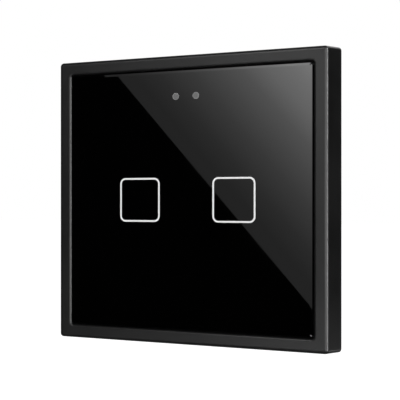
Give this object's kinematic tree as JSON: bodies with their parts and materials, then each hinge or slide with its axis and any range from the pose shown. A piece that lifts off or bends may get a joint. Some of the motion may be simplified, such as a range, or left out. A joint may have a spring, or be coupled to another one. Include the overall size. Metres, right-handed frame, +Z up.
{
  "type": "touch light switch",
  "caption": "Square wall touch switch: satin black frame round an inset black glass panel with white key outlines, clipped over a flush box unit.",
  "frame": {"origin": "centre of the plate on the wall plane, midway between the two wall screw slots", "axes": "+Z up, +Y into the wall, +X to the right as seen from the room; the glass faces -Y"},
  "size_m": [0.086, 0.0385, 0.086],
  "materials": {
    "frame_plastic": "satin moulded",
    "panel_glass": "black glass, polished",
    "key_print": "white fired print",
    "light_pipe": "grey translucent",
    "adhesive": "foam tape",
    "mask_film": "matt film",
    "copper": "tinned copper",
    "board": "solder mask",
    "chip_plastic": "moulded",
    "lamp": "lamp package",
    "connector_plastic": "moulded",
    "contact_gold": "plated",
    "carrier_plastic": "moulded",
    "zinc_steel": "zinc plated",
    "spring_steel": "bright",
    "screw_steel": "nickel plated",
    "box_plastic": "moulded",
    "terminal_plastic": "moulded",
    "terminal_brass": "bright",
    "relay_plastic": "moulded",
    "coil_wire": "enamelled winding",
    "soft_iron": "plated iron",
    "ferrite": "ground ferrite",
    "bobbin_tape": "taped winding",
    "capacitor_yellow": "moulded box",
    "capacitor_sleeve": "sleeve",
    "varistor_blue": "dipped",
    "resistor_body": "lacquered"
  },
  "bodies": {
    "wall_unit": {"mounting_yoke": "zinc_steel", "catch_springs": "spring_steel", "rear_box": "box_plastic", "module_cover": "box_plastic", "module_screws": "screw_steel", "power_board": "board", "board_header": "connector_plastic", "header_pins": "contact_gold", "terminal_block": "terminal_plastic", "transformer_core": "ferrite", "transformer_bobbin": "bobbin_tape", "film_capacitor": "capacitor_yellow", "electrolytic_capacitors": "capacitor_sleeve", "varistor": "varistor_blue", "fuse_resistor": "resistor_body", "bridge_rectifier": "chip_plastic", "supply_chip": "chip_plastic", "terminal_bar_1": "terminal_brass", "terminal_bar_2": "terminal_brass", "terminal_bar_3": "terminal_brass", "terminal_bar_4": "terminal_brass", "relay_base_left": "relay_plastic", "relay_case_left": "relay_plastic", "relay_coil_left": "coil_wire", "relay_yoke_left": "soft_iron", "relay_contact_left": "terminal_brass", "relay_base_right": "relay_plastic", "relay_case_right": "relay_plastic", "relay_coil_right": "coil_wire", "relay_yoke_right": "soft_iron", "relay_contact_right": "terminal_brass"},
    "front_cover": {"outer_frame": "frame_plastic", "glass_panel": "panel_glass", "key_outline_left": "key_print", "key_outline_right": "key_print", "glass_tape": "adhesive", "light_mask_film": "mask_film", "touch_electrodes": "copper", "touch_board": "board", "indicator_light_pipe_left": "light_pipe", "indicator_light_pipe_right": "light_pipe", "indicator_leds": "lamp", "touch_controller_chip": "chip_plastic", "touch_board_parts": "resistor_body", "board_socket": "connector_plastic", "panel_carrier": "carrier_plastic", "carrier_screws": "screw_steel"},
    "clamp_screw_1": {"terminal_screw_1": "screw_steel"},
    "clamp_cage_1": {"terminal_cage_1": "terminal_brass"},
    "clamp_screw_2": {"terminal_screw_2": "screw_steel"},
    "clamp_cage_2": {"terminal_cage_2": "terminal_brass"},
    "clamp_screw_3": {"terminal_screw_3": "screw_steel"},
    "clamp_cage_3": {"terminal_cage_3": "terminal_brass"},
    "clamp_screw_4": {"terminal_screw_4": "screw_steel"},
    "clamp_cage_4": {"terminal_cage_4": "terminal_brass"},
    "armature_left": {"relay_armature_left": "soft_iron", "relay_blade_left": "terminal_brass"},
    "armature_right": {"relay_armature_right": "soft_iron", "relay_blade_right": "terminal_brass"}
  },
  "joints": [
    {"name": "cover_pull_off", "type": "slide", "parent": "wall_unit", "child": "front_cover", "axis": [0, -1, 0], "range_m": [0, 0.03], "deforming": ["catch_springs"]},
    {"name": "clamp_screw_turn_1", "type": "hinge", "parent": "wall_unit", "child": "clamp_screw_1", "pos_m": [-0.0111, 0.0242, -0.02095], "axis": [0, -1, 0], "range_deg": [0, 1800]},
    {"name": "clamp_rise_1", "type": "slide", "parent": "wall_unit", "child": "clamp_cage_1", "axis": [0, 1, 0], "range_m": [0, 0.0025]},
    {"name": "clamp_screw_turn_2", "type": "hinge", "parent": "wall_unit", "child": "clamp_screw_2", "pos_m": [-0.0037, 0.0242, -0.02095], "axis": [0, -1, 0], "range_deg": [0, 1800]},
    {"name": "clamp_rise_2", "type": "slide", "parent": "wall_unit", "child": "clamp_cage_2", "axis": [0, 1, 0], "range_m": [0, 0.0025]},
    {"name": "clamp_screw_turn_3", "type": "hinge", "parent": "wall_unit", "child": "clamp_screw_3", "pos_m": [0.0037, 0.0242, -0.02095], "axis": [0, -1, 0], "range_deg": [0, 1800]},
    {"name": "clamp_rise_3", "type": "slide", "parent": "wall_unit", "child": "clamp_cage_3", "axis": [0, 1, 0], "range_m": [0, 0.0025]},
    {"name": "clamp_screw_turn_4", "type": "hinge", "parent": "wall_unit", "child": "clamp_screw_4", "pos_m": [0.0111, 0.0242, -0.02095], "axis": [0, -1, 0], "range_deg": [0, 1800]},
    {"name": "clamp_rise_4", "type": "slide", "parent": "wall_unit", "child": "clamp_cage_4", "axis": [0, 1, 0], "range_m": [0, 0.0025]},
    {"name": "relay_armature_pull_left", "type": "hinge", "parent": "wall_unit", "child": "armature_left", "pos_m": [-0.0022, 0.01485, 0.013], "axis": [0, 0, 1], "range_deg": [0, 4], "stiffness_Nm_per_rad": 0.002},
    {"name": "relay_armature_pull_right", "type": "hinge", "parent": "wall_unit", "child": "armature_right", "pos_m": [0.0176, 0.01485, 0.013], "axis": [0, 0, 1], "range_deg": [0, 4], "stiffness_Nm_per_rad": 0.002}
  ],
  "couplings": [
    {"joint": "clamp_screw_turn_1", "follows": "clamp_rise_1", "rad_per_m": 12566},
    {"joint": "clamp_screw_turn_2", "follows": "clamp_rise_2", "rad_per_m": 12566},
    {"joint": "clamp_screw_turn_3", "follows": "clamp_rise_3", "rad_per_m": 12566},
    {"joint": "clamp_screw_turn_4", "follows": "clamp_rise_4", "rad_per_m": 12566}
  ]
}
